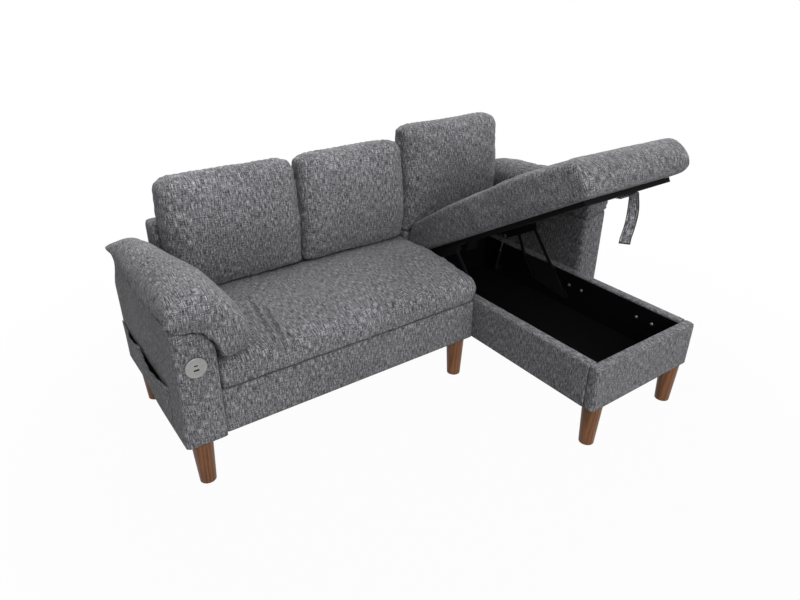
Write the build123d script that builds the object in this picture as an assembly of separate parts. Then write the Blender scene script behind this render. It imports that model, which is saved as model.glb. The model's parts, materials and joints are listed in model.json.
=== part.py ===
from build123d import *
import os
from math import atan2, cos, degrees, hypot, radians, sin, sqrt

# Storage corner sofa: a two-seat settee with a chaise on its right, whose seat lifts over a storage box.
# Millimetres, +Z up, -Y is the front. The origin is on the floor under the middle of the sofa.

# Plan
seat_width = 1092.0
chaise_width = 575.0
arm_width = 137.0
chaise_reach = 641.0
seat_depth = 545.0
left_arm_overhang = 16.0
right_arm_overhang = 56.0

# Heights
leg_height = 171.0
seat_rail_height = 172.0
box_wall_height = 182.0
arm_height = 440.0
back_height = 566.0

# Clearances
soft_gap = 0.4
cover_gap = 0.3
running_gap = 0.05
pivot_gap = 0.3
swing_gap = 6.0

# Frame boards
rail_thickness = 28.0
webbing_thickness = 3.0
webbing_width = 60.0
webbing_count = 6
dust_cover = 2.0
corner_block_size = 84.0
corner_block_height = 60.0

# Back
back_thickness = 119.0
back_rake = 34.0
back_edge_radius = 18.0
back_head_inset = 8.0

# Arms
arm_shoulder_drop = 23.0
arm_shoulder_inset = 53.0
arm_side_drop = 111.0
arm_shoulder_round = 11.0
arm_edge_radius = 14.0

# Arm pads
pad_front_overhang = 26.0
pad_crown = 75.0
pad_side_height = 79.0
pad_side_bulge = 10.0
pad_outer_overhang = 6.0
pad_inner_shoulder = 29.0
pad_drape = 68.0
pad_drape_rear = 6.0
pad_drape_bulge = 16.0
pad_drape_clearance = 3.0
right_pad_crown = 54.0
right_pad_inset = 3.0
right_pad_bulge = 3.0

# Seat cushion
seat_front_height = 109.0
seat_rear_height = 115.0
seat_crown = 21.0
seat_nose_bulge = 22.0
seat_draw = 14.0
seat_corner = 26.0
seat_side_gap = 1.5

# Back cushions
cushion_split = 715.0
cushion_height = 430.0
chaise_cushion_height = 463.0
cushion_foot_thickness = 76.0
cushion_head_thickness = 92.0
cushion_front_crown = 24.0
chaise_cushion_front_crown = 14.0
cushion_top_crown = 15.0
cushion_draw = 24.0
cushion_corner = 56.0
cushion_arm_gap = 28.0
chaise_cushion_inset = 20.0
cushion_side_gap = 2.0

# Chaise box
wall_thickness = 43.0
rear_wall_thickness = 34.0
lining = 3.0
lining_drop = 7.0
floor_thickness = 12.0
wall_edge_radius = 12.0
wall_top_radius = 6.0
deck_height = 131.0
deck_reach = 52.0
deck_notch_rise = 46.0
deck_notch_reach = 32.0

# Lid
lid_open_angle = 29.8
lid_panel_thickness = 18.0
lid_cushion_thickness = 147.0
lid_crown = 26.0
lid_nose_bulge = 30.0
lid_nose_overhang = 6.0
lid_heel_bulge = 12.0
lid_draw = 16.0
lid_corner = 44.0
lid_side_gap = 4.0
lid_heel_inset = 35.0
lid_heel_slope = 100.0

# Butt hinges
hinge_spread = 300.0
hinge_length = 70.0
hinge_middle_knuckle = 24.0
hinge_knuckle_radius = 4.7
hinge_pin_radius = 2.5
hinge_leaf = 2.0
hinge_standoff = 5.0
hinge_leaf_length = 40.0

# Lift mechanism: plate, arms and struts, along the lid from its hinge axis and square to it
plate_thickness = 3.0
arm_thickness = 4.0
arm_half_width = 8.0
arm_eye_radius = 9.0
pivot_radius = 4.0
layer_gap = 1.0
front_pivot_reach = 354.0
front_pivot_drop = 13.0
front_arm_length = 208.0
front_arm_open_dip = 49.0
front_arm_shut_dip = 25.0
rear_pivot_reach = 246.0
rear_pivot_drop = 21.0
rear_arm_length = 112.0
rear_arm_open_dip = 63.0
rear_arm_shut_dip = 30.0
slot_play = 1.5
plate_margin = 13.0
bracket_drop = 33.0
bracket_flange = 30.0
bracket_end = 24.0
strut_reach = 159.0
strut_drop = 15.0
strut_foot_dip = 50.0
strut_tube_radius = 7.5
strut_bore_radius = 5.6
strut_gland = 12.0
strut_tube_length = 104.0
strut_plug = 13.2
strut_rod_radius = 4.0
strut_piston_length = 5.6
strut_eye_radius = 9.5
strut_eye_width = 12.0
strut_eye_play = 2.0
strut_offset = 22.0
strut_foot_plate = 44.0

# Pull strap
strap_width = 47.0
strap_thickness = 2.5
strap_drop = 175.0
strap_tab_length = 72.0
strap_from_centre = 61.0
strap_front_margin = 4.0
strap_shut_angle = 75.0
strap_anchor_length = 20.0
strap_anchor_thickness = 2.0
strap_anchor_overlap = 5.0

# Side pocket
pocket_bulge = 13.0
pocket_sheet = 2.5
pocket_seam = 5.0
pocket_height = 160.0
pocket_foot = 20.0
pocket_front_inset = 128.0
pocket_length = 540.0
pocket_split = 306.0

# Charging socket on the left arm's front
charger_from_side = 62.0
charger_height = 473.0
charger_radius = 35.0
charger_rim = 4.0
charger_rim_bevel = 1.5
charger_window_radius = 22.0
charger_face_thickness = 3.0
charger_body_radius = 26.0
charger_body_depth = 40.0
port_spacing = 16.0
wide_port = (18.0, 7.0)
narrow_port = (12.0, 5.6)
port_depth = 10.0

# Legs
leg_top_radius = 37.0
leg_foot_radius = 28.0
leg_inset_side = 52.0
leg_inset_front = 38.0
leg_inset_seat = 61.5
leg_inset_rear = 60.0
leg_bolt_radius = 4.0
leg_bolt_in_leg = 30.0
leg_bolt_in_frame = 28.0

# Bolts seen in the box, their places from the chaise's front
wall_bolt_places = (153.0, 227.0, 517.0, 587.0)
wall_bolt_height = 121.0
wall_bolt_radius = 4.0
wall_bolt_head_radius = 7.0
wall_bolt_head = 4.0
wall_bolt_length = 30.0

# Places worked out from the sizes above
half_width = arm_width + (seat_width + chaise_width) / 2
depth = chaise_reach + seat_depth + back_thickness
seat_left = arm_width - half_width
chaise_left = seat_left + seat_width
chaise_right = chaise_left + chaise_width
chaise_middle = (chaise_left + chaise_right) / 2
front_y = -depth / 2
seat_front = front_y + chaise_reach
back_foot = seat_front + seat_depth
back_heel = back_foot + back_thickness
base_z = leg_height
seat_top = base_z + seat_rail_height
box_top = base_z + box_wall_height
arm_top = base_z + arm_height
back_top = base_z + back_height
inner_left = chaise_left + wall_thickness
inner_right = chaise_right - wall_thickness
inner_front = front_y + wall_thickness
inner_rear = back_foot - rear_wall_thickness
lined_left = inner_left + lining
lined_right = inner_right - lining
lined_front = inner_front + lining
lined_rear = inner_rear - lining
hinge_y = lined_rear - hinge_standoff
hinge_z = box_top - lid_panel_thickness - hinge_standoff


def block(x, y, z):
    """A box between two values on each axis."""
    centre = Pos((x[0] + x[1]) / 2, (y[0] + y[1]) / 2, (z[0] + z[1]) / 2)
    return centre * Box(x[1] - x[0], y[1] - y[0], z[1] - z[0])


def bow(start, end, rise):
    """An arc from start to end that stands out by rise on its left."""
    along = (end[0] - start[0], end[1] - start[1])
    length = hypot(*along)
    middle = ((start[0] + end[0]) / 2, (start[1] + end[1]) / 2)
    top = (middle[0] - along[1] / length * rise, middle[1] + along[0] / length * rise)
    return ThreePointArc(start, top, end)


def bow_height(start, end, rise, at):
    """Height of a nearly level arc, given as for bow from right to left, at one place along it."""
    half = hypot(end[0] - start[0], end[1] - start[1]) / 2
    radius = (half**2 + rise**2) / (2 * rise)
    middle = ((start[0] + end[0]) / 2, (start[1] + end[1]) / 2)
    tilt = atan2(start[1] - end[1], start[0] - end[0])
    centre = (middle[0] + (radius - rise) * sin(tilt), middle[1] - (radius - rise) * cos(tilt))
    return centre[1] + sqrt(radius**2 - (at - centre[0]) ** 2)


def rounded_stations(start, end, corner):
    """Places along a cushion, each with how far its corners are drawn in there, from 1 at an end to 0."""
    places = []
    for angle in (0, 45, 90):
        places.append((start + corner * (1 - cos(radians(angle))), 1 - sin(radians(angle))))
    places.append(((start + end) / 2, 0))
    for place, draw in reversed(places[:-1]):
        places.append((start + end - place, draw))
    return places


def side_face(edges, x):
    """A closed outline given in Y and Z, set at one X."""
    return Plane.YZ.offset(x) * make_face(edges)


def front_face(edges, y):
    """A closed outline given in X and Z, set at one Y."""
    return Plane.XZ.offset(-y) * make_face(edges)


def side_prism(face, x):
    """A face drawn in Y and Z, drawn out between two values of X."""
    return extrude(Plane.YZ.offset(x[0]) * face, amount=x[1] - x[0])


def polygon(*points):
    return make_face(Polyline(*points, close=True))


def disc_x(place, radius, x):
    """A round bar along X through a place given in Y and Z."""
    middle = Pos((x[0] + x[1]) / 2, place[0], place[1])
    return middle * Rot(0, 90, 0) * Cylinder(radius, abs(x[1] - x[0]))


def bar(start, end, radius):
    """A round bar between two points."""
    direction = Vector(*end) - Vector(*start)
    plane = Plane(origin=start, z_dir=direction)
    return extrude(plane * Circle(radius), amount=direction.length)


def mirrored(x):
    """The place across the chaise's middle."""
    return 2 * chaise_middle - x


def on_side(span, side):
    """A pair of X values on the right wall, or their mirror image on the left wall."""
    if side == "right":
        return span
    return mirrored(span[1]), mirrored(span[0])


def opened(part):
    """Turns a part of the lid from its shut place to its open one, which is how the sofa stands."""
    return part.rotate(Axis((0, hinge_y, hinge_z), (1, 0, 0)), -lid_open_angle)


def lid_place(reach, drop, opening=1.0):
    """Where a point of the lid lies, from shut at 0 to open at 1, as Y and Z."""
    angle = radians(lid_open_angle * opening)
    y = hinge_y - reach * cos(angle) - drop * sin(angle)
    z = hinge_z + reach * sin(angle) - drop * cos(angle)
    return y, z


def back_face(z):
    """The raked front of the back at one height."""
    return back_foot + back_rake * (z - base_z) / back_height


nodes = {}


# Settee base
def settee_base():
    left = seat_left
    right = chaise_left - cover_gap
    rear = back_foot - soft_gap
    rail_z = (base_z + dust_cover, seat_top - webbing_thickness)
    inside_front = seat_front + rail_thickness
    inside_rear = rear - rail_thickness
    front = block((left, right), (seat_front, inside_front), (base_z, seat_top))
    nose = front.faces().sort_by(Axis.Y)[0].edges().filter_by(Axis.X)
    nodes["seat_front_rail"] = fillet(nose, wall_top_radius)
    nodes["seat_rear_rail"] = block((left, right), (inside_rear, rear), rail_z)
    inside_y = (inside_front, inside_rear)
    nodes["seat_left_rail"] = block((left, left + rail_thickness), inside_y, rail_z)
    nodes["seat_right_rail"] = block((right - rail_thickness, right), inside_y, rail_z)
    pitch = (inside_rear - inside_front) / webbing_count
    strips = []
    for index in range(webbing_count):
        middle = inside_front + pitch * (index + 0.5)
        strip_y = (middle - webbing_width / 2, middle + webbing_width / 2)
        strips.append(block((left, right), strip_y, (rail_z[1], seat_top)))
    nodes["seat_webbing"] = Compound(children=strips)
    corner = right - rail_thickness
    block_x = (corner - corner_block_size, corner)
    block_y = (inside_front, inside_front + corner_block_size)
    block_z = (rail_z[0], rail_z[0] + corner_block_height)
    nodes["seat_corner_block"] = block(block_x, block_y, block_z)
    nodes["seat_dust_cover"] = block((left, right), (inside_front, rear), (base_z, rail_z[0]))


# Seat cushion: a crowned bench pad with a rounded nose
seat_cushion_z = seat_top + soft_gap
seat_cushion_rear = back_foot - soft_gap
seat_top_rear = (seat_cushion_rear, seat_top + seat_rear_height)
seat_top_front = (seat_front + seat_nose_bulge, seat_top + seat_front_height)


def seat_cushion():
    left = seat_left + cover_gap
    right = chaise_left - seat_side_gap
    sections = []
    for x, draw in rounded_stations(left, right, seat_corner):
        drop = seat_draw * draw
        inset = seat_corner * draw / 2
        heel = (seat_cushion_rear, seat_cushion_z)
        top_rear = (seat_top_rear[0], seat_top_rear[1] - drop)
        top_front = (seat_top_front[0] + inset, seat_top_front[1] - drop)
        toe = (seat_front + inset, seat_cushion_z)
        outline = [
            Line(toe, heel),
            Line(heel, top_rear),
            bow(top_front, top_rear, seat_crown),
            bow(toe, top_front, seat_nose_bulge),
        ]
        sections.append(side_face(outline, x))
    nodes["seat_cushion"] = loft(sections, ruled=True)


# Back: one panel between the arms, raked in front and upright behind, a little narrower above the arms
def back_panel():
    outline = polygon(
        (back_foot, base_z),
        (back_heel, base_z),
        (back_heel, back_top),
        (back_face(back_top), back_top),
    )
    panel = side_prism(outline, (seat_left + cover_gap, chaise_right - cover_gap))
    corners = ((seat_left, seat_left + back_head_inset), (chaise_right - back_head_inset, chaise_right))
    for corner_x in corners:
        panel -= block(corner_x, (back_foot, back_heel), (arm_top, back_top))
    top_edges = panel.faces().sort_by(Axis.Z)[-1].edges()
    nodes["back_panel"] = fillet(top_edges, back_edge_radius)


# Back cushions: crowned in front and on top, flat against the back
def back_cushion(x, foot_z, height, front_crown):
    sections = []
    top_z = foot_z + height
    for place, draw in rounded_stations(x[0], x[1], cushion_corner):
        inset = cushion_draw * draw
        heel = (back_face(foot_z) - soft_gap, foot_z)
        toe = (heel[0] - cushion_foot_thickness + inset, foot_z)
        head_z = top_z - cushion_corner * draw
        head_rear = (back_face(head_z) - soft_gap, head_z)
        head_front = (head_rear[0] - cushion_head_thickness + inset, head_z)
        outline = [
            Line(toe, heel),
            Line(heel, head_rear),
            bow(head_front, head_rear, cushion_top_crown),
            bow(toe, head_front, front_crown),
        ]
        sections.append(side_face(outline, place))
    return loft(sections, ruled=True)


def back_cushions():
    toe = back_face(seat_top_rear[1]) - cushion_foot_thickness - cushion_front_crown
    settee_foot = bow_height(seat_top_rear, seat_top_front, seat_crown, toe) + soft_gap
    chaise_foot = box_top + cover_gap + deck_height + soft_gap
    start = seat_left + cushion_arm_gap
    split = seat_left + cushion_split - arm_width
    settee = (settee_foot, cushion_height, cushion_front_crown)
    chaise = (chaise_foot, chaise_cushion_height, chaise_cushion_front_crown)
    nodes["back_cushion_left"] = back_cushion((start, split - cushion_side_gap), *settee)
    nodes["back_cushion_middle"] = back_cushion((split, chaise_left - cushion_side_gap), *settee)
    nodes["back_cushion_right"] = back_cushion((chaise_left, chaise_right - chaise_cushion_inset), *chaise)


# Arms: upright boxes with a sloping shoulder under the pad
def arm_outline(outer, inward, draped):
    """Outline in X and Z from the outer face, inward is +1 or -1."""
    shoulder = (outer + inward * (arm_width - arm_shoulder_inset), arm_top - arm_shoulder_drop)
    side_top = (outer + inward * arm_width, arm_top - arm_side_drop)
    flat_top = (outer + inward * arm_width, arm_top - arm_shoulder_drop)
    foot = [(outer, arm_top), (outer, base_z), (outer + inward * arm_width, base_z)]
    if not draped:
        return [Polyline(*foot, flat_top, close=True)]
    return [Polyline(shoulder, *foot, side_top), bow(side_top, shoulder, -inward * arm_shoulder_round)]


def arm_body(outer, inward, overhang, draped):
    front = seat_front - overhang
    outline = arm_outline(outer, inward, draped)
    body = extrude(front_face(outline, front), amount=front - back_heel)
    upright = body.edges().filter_by(Axis.Z)
    upright = upright.filter_by(lambda edge: abs(edge.center().Y - front) < arm_width / 2)
    return fillet(upright, arm_edge_radius)


# Arm pads: pillows on the shoulders; the left one hangs over the seat at the front
def draped_pad_section(y, fullness, drape):
    outer = -half_width
    gap = soft_gap
    shoulder = (outer + arm_width - arm_shoulder_inset + gap, arm_top - arm_shoulder_drop + gap)
    side_top = (outer + arm_width + gap, arm_top - arm_side_drop)
    hem_z = seat_top + max(seat_front_height, seat_rear_height) + seat_crown + pad_drape_clearance
    hem_inner = (side_top[0], hem_z)
    hem_outer = (side_top[0] + drape * fullness, hem_z)
    crest_inner = (hem_outer[0], shoulder[1] + (pad_side_height - pad_inner_shoulder) * fullness)
    crest_outer = (outer - pad_outer_overhang * fullness, arm_top + gap + pad_side_height * fullness)
    rim = (outer, arm_top + gap)
    outline = [
        Line(rim, shoulder),
        bow(shoulder, side_top, arm_shoulder_round),
        Line(side_top, hem_inner),
        Line(hem_inner, hem_outer),
        bow(crest_inner, hem_outer, pad_drape_bulge * fullness * drape / pad_drape),
        bow(crest_outer, crest_inner, pad_crown * fullness),
        bow(rim, crest_outer, pad_side_bulge * fullness),
    ]
    return front_face(outline, y)


def plain_pad_section(y, fullness):
    outer = half_width
    inner = half_width - arm_width
    rim = (outer, arm_top + soft_gap)
    seam_drop = arm_shoulder_drop * (1 - right_pad_inset / arm_width)
    seam = (inner + right_pad_inset, arm_top - seam_drop + soft_gap)
    crest_z = arm_top + soft_gap + pad_side_height * fullness
    crest_outer = (outer + pad_outer_overhang * fullness, crest_z)
    crest_inner = (seam[0], crest_z)
    outline = [
        Line(seam, rim),
        bow(crest_outer, rim, pad_side_bulge * fullness),
        bow(crest_inner, crest_outer, right_pad_crown * fullness),
        bow(seam, crest_inner, right_pad_bulge),
    ]
    return front_face(outline, y)


def arms():
    nodes["left_arm_body"] = arm_body(-half_width, 1, left_arm_overhang, True)
    nodes["right_arm_body"] = arm_body(half_width, -1, right_arm_overhang, False)
    pad_rear = back_heel
    fullness = ((0, 0.62), (0.03, 0.86), (0.1, 0.98), (0.35, 1), (0.72, 0.91), (0.93, 0.68), (1, 0.46))
    drapes = (1, 1, 1, 1, 0, 0, 0)
    left_front = seat_front - left_arm_overhang - pad_front_overhang
    sections = []
    for (share, full), hang in zip(fullness, drapes):
        drape = pad_drape_rear + (pad_drape - pad_drape_rear) * hang
        sections.append(draped_pad_section(left_front + (pad_rear - left_front) * share, full, drape))
    beside_back = block((seat_left, 0), (back_foot - soft_gap, depth), (base_z, 2 * arm_top))
    nodes["left_arm_pad"] = loft(sections, ruled=True) - beside_back
    right_front = seat_front - right_arm_overhang - pad_front_overhang
    sections = []
    for share, full in fullness:
        sections.append(plain_pad_section(right_front + (pad_rear - right_front) * share, full))
    nodes["right_arm_pad"] = loft(sections, ruled=True)


# Side pocket: a slanting sheet sewn to the arm at its foot, its ends and one seam between
def side_pocket():
    face = -half_width
    foot = base_z + pocket_foot
    top = foot + pocket_height
    start = seat_front - left_arm_overhang + pocket_front_inset
    wedge = make_face(Polyline((face, foot), (face - pocket_bulge, top), (face, top), close=True))
    pocket = extrude(Plane.XZ.offset(-start) * wedge, amount=-pocket_length)
    inside_bulge = pocket_bulge - pocket_sheet
    inside_foot = foot + pocket_sheet / pocket_bulge * pocket_height
    hollow = make_face(Polyline((face, inside_foot), (face - inside_bulge, top), (face, top), close=True))
    seam = start + pocket_split
    for low, high in ((start + pocket_seam, seam), (seam + pocket_seam, start + pocket_length - pocket_seam)):
        pocket -= extrude(Plane.XZ.offset(-low) * hollow, amount=low - high)
    nodes["side_pocket"] = pocket


# Charging socket: a rim, a face with two ports and a body let into the arm
def port_cut(size, centre_z, y):
    x = -half_width + charger_from_side
    return block((x - size[0] / 2, x + size[0] / 2), y, (centre_z - size[1] / 2, centre_z + size[1] / 2))


def disc_y(radius, y):
    middle = Pos(charger_from_side - half_width, (y[0] + y[1]) / 2, charger_height)
    return middle * Rot(90, 0, 0) * Cylinder(radius, y[1] - y[0])


def charger():
    face = seat_front - left_arm_overhang
    front = face - charger_rim
    ports = ((wide_port, charger_height - port_spacing / 2), (narrow_port, charger_height + port_spacing / 2))
    rim = disc_y(charger_radius, (front, face))
    outer_edge = rim.edges().filter_by(GeomType.CIRCLE).sort_by(Axis.Y)[0]
    rim = chamfer(outer_edge, charger_rim_bevel) - disc_y(charger_window_radius, (front, face))
    body_back = face + charger_body_depth
    body = disc_y(charger_body_radius, (face, body_back))
    insert_front = face - charger_face_thickness
    insert = disc_y(charger_window_radius - running_gap, (insert_front, face))
    for size, centre_z in ports:
        body -= port_cut(size, centre_z, (face, insert_front + port_depth))
        insert -= port_cut(size, centre_z, (insert_front, face))
    nodes["charger_rim"] = rim
    nodes["charger_face"] = insert
    nodes["charger_body"] = body
    nodes["left_arm_body"] -= disc_y(charger_body_radius + cover_gap, (face, body_back + cover_gap))


# Chaise box: padded walls, a floor and a thin lining
def chaise_box():
    front = block((chaise_left, chaise_right), (front_y, inner_front), (base_z, box_top))
    upright = front.faces().sort_by(Axis.Y)[0].edges().filter_by(Axis.Z)
    front = fillet(upright, wall_edge_radius)
    brow = front.faces().sort_by(Axis.Z)[-1].edges().filter_by(Axis.X).sort_by(Axis.Y)[0]
    nodes["chaise_front_wall"] = fillet(brow, wall_top_radius)
    side_y = (inner_front, back_foot - soft_gap)
    walls = {"left": (chaise_left, inner_left), "right": (inner_right, chaise_right)}
    for side, span in walls.items():
        wall = block(span, side_y, (base_z, box_top))
        outer_x = chaise_left if side == "left" else chaise_right
        top = wall.faces().sort_by(Axis.Z)[-1].edges().filter_by(Axis.Y)
        brow = top.filter_by(lambda edge: abs(edge.center().X - outer_x) < wall_thickness / 2)
        nodes[f"chaise_{side}_wall"] = fillet(brow, wall_top_radius)
    inner_x = (inner_left, inner_right)
    nodes["chaise_rear_wall"] = block(inner_x, (inner_rear, back_foot - soft_gap), (base_z, box_top))
    nodes["box_floor"] = block(inner_x, (inner_front, inner_rear), (base_z, base_z + floor_thickness))
    lined_z = (base_z + floor_thickness, box_top - lining_drop)
    lined_y = (lined_front, lined_rear)
    sleeve = block(inner_x, (inner_front, inner_rear), lined_z)
    nodes["box_lining"] = sleeve - block((lined_left, lined_right), lined_y, lined_z)


# Fixed deck behind the lid, under the right back cushion, cut away over the lid's swinging heel
def rear_deck():
    low = box_top + cover_gap
    high = low + deck_height
    front = back_foot - deck_reach
    notch_y = back_foot - deck_notch_reach
    outline = polygon(
        (notch_y, low),
        (back_face(low) - soft_gap, low),
        (back_face(high) - soft_gap, high),
        (front, high),
        (front, low + deck_notch_rise),
    )
    span = (chaise_left + cover_gap, chaise_right - cover_gap)
    nodes["chaise_rear_deck"] = side_prism(outline, span)


# Lid: a board that drops into the box and a crowned cushion on it
panel_heel = hinge_y - swing_gap - hinge_leaf
panel_toe = lined_front + swing_gap
panel_under = hinge_z + hinge_standoff


def lid():
    panel_x = (lined_left + swing_gap, lined_right - swing_gap)
    board = block(panel_x, (panel_toe, panel_heel), (panel_under, box_top))
    nodes["lid_panel"] = opened(board)
    low = box_top + cover_gap
    left = chaise_left + lid_side_gap
    right = chaise_right - lid_side_gap
    nose = front_y - lid_nose_overhang
    heel = hinge_y - lid_heel_inset
    sections = []
    for x, draw in rounded_stations(left, right, lid_corner):
        inset = lid_corner * draw / 2
        top_z = low + lid_cushion_thickness - lid_draw * draw
        foot_rear = (heel, low)
        foot_front = (nose + inset, low)
        top_front = (nose + inset + lid_nose_bulge, top_z)
        top_rear = (heel - lid_heel_slope, top_z)
        outline = [
            Line(foot_front, foot_rear),
            bow(top_rear, foot_rear, lid_heel_bulge),
            bow(top_front, top_rear, lid_crown),
            bow(foot_front, top_front, lid_nose_bulge),
        ]
        sections.append(side_face(outline, x))
    nodes["lid_cushion"] = opened(loft(sections, ruled=True))


# Butt hinges between the box's rear wall and the lid
def hinges():
    fixed = []
    moving = []
    pins = []
    axis = (hinge_y, hinge_z)
    half = hinge_length / 2
    inner = hinge_middle_knuckle / 2
    bore = hinge_pin_radius + running_gap
    clear = hinge_knuckle_radius + 2 * pivot_gap
    leaf_near = hinge_standoff - hinge_leaf
    for centre in (chaise_middle - hinge_spread / 2, chaise_middle + hinge_spread / 2):
        whole = (centre - half, centre + half)
        middle = (centre - inner + pivot_gap, centre + inner - pivot_gap)
        ends = ((whole[0], centre - inner), (centre + inner, whole[1]))
        leaf_y = (hinge_y + leaf_near, hinge_y + hinge_standoff)
        leaf = block(whole, leaf_y, (hinge_z - hinge_leaf_length, hinge_z - clear))
        for span in ends:
            leaf += block(span, leaf_y, (hinge_z - clear, hinge_z))
            leaf += disc_x(axis, hinge_knuckle_radius, span)
        fixed.append(leaf - disc_x(axis, bore, whole))
        leaf_z = (hinge_z + leaf_near, hinge_z + hinge_standoff)
        leaf = block(whole, (hinge_y - hinge_leaf_length, hinge_y - clear), leaf_z)
        leaf += block(middle, (hinge_y - clear, hinge_y), leaf_z)
        leaf += disc_x(axis, hinge_knuckle_radius, middle)
        moving.append(opened(leaf - disc_x(axis, bore, whole)))
        pins.append(disc_x(axis, hinge_pin_radius, whole))
    nodes["hinge_leaves_box"] = Compound(children=fixed)
    nodes["hinge_leaves_lid"] = Compound(children=moving)
    nodes["hinge_pins"] = Compound(children=pins)


# Layers of the lift mechanism, counted inward from the right-hand lining
plate_x = (lined_right - plate_thickness, lined_right)
arm_x = (plate_x[0] - layer_gap - arm_thickness, plate_x[0] - layer_gap)
bracket_x = (arm_x[0] - layer_gap - plate_thickness, arm_x[0] - layer_gap)
strut_x = lined_right - strut_offset
strut_eye_x = (strut_x - strut_eye_width / 2, strut_x + strut_eye_width / 2)
strut_pin_end = strut_eye_x[0] - layer_gap


def arm_pin(reach, drop, length, open_dip, shut_dip, opening):
    """Where a guide arm's lower pin lies; the arm's dip changes in step with the lid."""
    y, z = lid_place(reach, drop, opening)
    dip = radians(shut_dip + (open_dip - shut_dip) * opening)
    return y - length * cos(dip), z - length * sin(dip)


front_arm = (front_pivot_reach, front_pivot_drop, front_arm_length, front_arm_open_dip, front_arm_shut_dip)
rear_arm = (rear_pivot_reach, rear_pivot_drop, rear_arm_length, rear_arm_open_dip, rear_arm_shut_dip)


def guide_plate(side):
    """Plate on the box wall whose two slots follow the lower pins of the guide arms."""
    corners = [arm_pin(*front_arm, 1), arm_pin(*rear_arm, 1), arm_pin(*rear_arm, 0), arm_pin(*front_arm, 0)]
    face = offset(polygon(*corners), plate_margin)
    for guide in (front_arm, rear_arm):
        path = ThreePointArc(arm_pin(*guide, 1), arm_pin(*guide, 0.5), arm_pin(*guide, 0))
        face -= SlotArc(path, height=2 * (pivot_radius + slot_play))
    nodes[f"guide_plate_{side}"] = side_prism(face, on_side(plate_x, side))


def lid_bracket(side):
    """Angle under the lid that carries the pivots of both arms and of the strut."""
    front = hinge_y - front_pivot_reach - bracket_end
    rear = hinge_y - strut_reach + bracket_end
    low = panel_under - bracket_drop
    web = polygon(
        (front, panel_under),
        (front, low + bracket_end / 2),
        (front + bracket_end / 2, low),
        (rear - bracket_end / 2, low),
        (rear, low + bracket_end / 2),
        (rear, panel_under),
    )
    bracket = side_prism(web, on_side(bracket_x, side))
    flange = (bracket_x[0] - bracket_flange, bracket_x[1])
    bracket += block(on_side(flange, side), (front, rear), (panel_under - plate_thickness, panel_under))
    for reach, drop in ((front_pivot_reach, front_pivot_drop), (rear_pivot_reach, rear_pivot_drop)):
        bracket += disc_x(lid_place(reach, drop, 0), pivot_radius, on_side((bracket_x[0], arm_x[1]), side))
    strut_pin = on_side((strut_pin_end, bracket_x[1]), side)
    bracket += disc_x(lid_place(strut_reach, strut_drop, 0), pivot_radius, strut_pin)
    nodes[f"lid_bracket_{side}"] = opened(bracket)


def guide_arm(name, guide, side):
    """Flat arm hung on the lid bracket, with a pin that runs in the guide plate."""
    top = lid_place(guide[0], guide[1])
    foot = arm_pin(*guide, 1)
    span = on_side(arm_x, side)
    length = hypot(top[0] - foot[0], top[1] - foot[1])
    turn = degrees(atan2(top[1] - foot[1], top[0] - foot[0]))
    middle = Pos((top[0] + foot[0]) / 2, (top[1] + foot[1]) / 2)
    shape = middle * Rot(0, 0, turn) * Rectangle(length, 2 * arm_half_width)
    shape += Pos(*top) * Circle(arm_eye_radius)
    shape += Pos(*foot) * Circle(arm_half_width)
    shape -= Pos(*top) * Circle(pivot_radius + running_gap)
    pin = on_side((arm_x[0], plate_x[1] - layer_gap), side)
    nodes[f"{name}_{side}"] = side_prism(shape, span) + disc_x(foot, pivot_radius, pin)


strut_radius = hypot(strut_reach, strut_drop)
strut_foot = (
    hinge_y - strut_radius * cos(radians(strut_foot_dip)),
    hinge_z - strut_radius * sin(radians(strut_foot_dip)),
)
strut_head = lid_place(strut_reach, strut_drop)
strut_length = hypot(strut_head[0] - strut_foot[0], strut_head[1] - strut_foot[1])
strut_shut_head = lid_place(strut_reach, strut_drop, 0)
strut_shut_length = hypot(strut_shut_head[0] - strut_foot[0], strut_shut_head[1] - strut_foot[1])


def strut_point(distance, side):
    """A point on the strut's axis, measured from its lower pivot."""
    share = distance / strut_length
    x = strut_x if side == "right" else mirrored(strut_x)
    y = strut_foot[0] + (strut_head[0] - strut_foot[0]) * share
    z = strut_foot[1] + (strut_head[1] - strut_foot[1]) * share
    return x, y, z


def gas_strut(side):
    """Tube with a gland, and a rod whose piston meets the gland when the lid is fully open."""
    half = strut_foot_plate / 2
    foot_y = (strut_foot[0] - half, strut_foot[0] + half)
    foot_z = (base_z + floor_thickness + cover_gap, strut_foot[1] + half)
    foot = block(on_side(plate_x, side), foot_y, foot_z)
    foot += disc_x(strut_foot, pivot_radius, on_side((strut_pin_end, plate_x[1]), side))
    nodes[f"strut_foot_{side}"] = foot
    eye_x = on_side(strut_eye_x, side)
    gland_start = strut_tube_length - strut_gland
    tube = bar(strut_point(0, side), strut_point(strut_tube_length, side), strut_tube_radius)
    tube += disc_x(strut_foot, strut_eye_radius, eye_x)
    tube -= disc_x(strut_foot, pivot_radius + running_gap, on_side((strut_pin_end, bracket_x[0]), side))
    tube -= bar(strut_point(strut_plug, side), strut_point(gland_start, side), strut_bore_radius)
    mouth = strut_point(strut_tube_length + layer_gap, side)
    tube -= bar(strut_point(gland_start, side), mouth, strut_rod_radius + pivot_gap)
    nodes[f"strut_tube_{side}"] = tube
    piston_top = gland_start - pivot_gap
    piston_foot = piston_top - strut_piston_length
    rod = bar(strut_point(piston_foot, side), strut_point(strut_length, side), strut_rod_radius)
    rod += bar(strut_point(piston_foot, side), strut_point(piston_top, side), strut_bore_radius - pivot_gap)
    rod += disc_x(strut_head, strut_eye_radius, eye_x)
    rod -= disc_x(strut_head, pivot_radius + strut_eye_play, on_side((strut_pin_end, bracket_x[0]), side))
    nodes[f"strut_rod_{side}"] = rod


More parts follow.
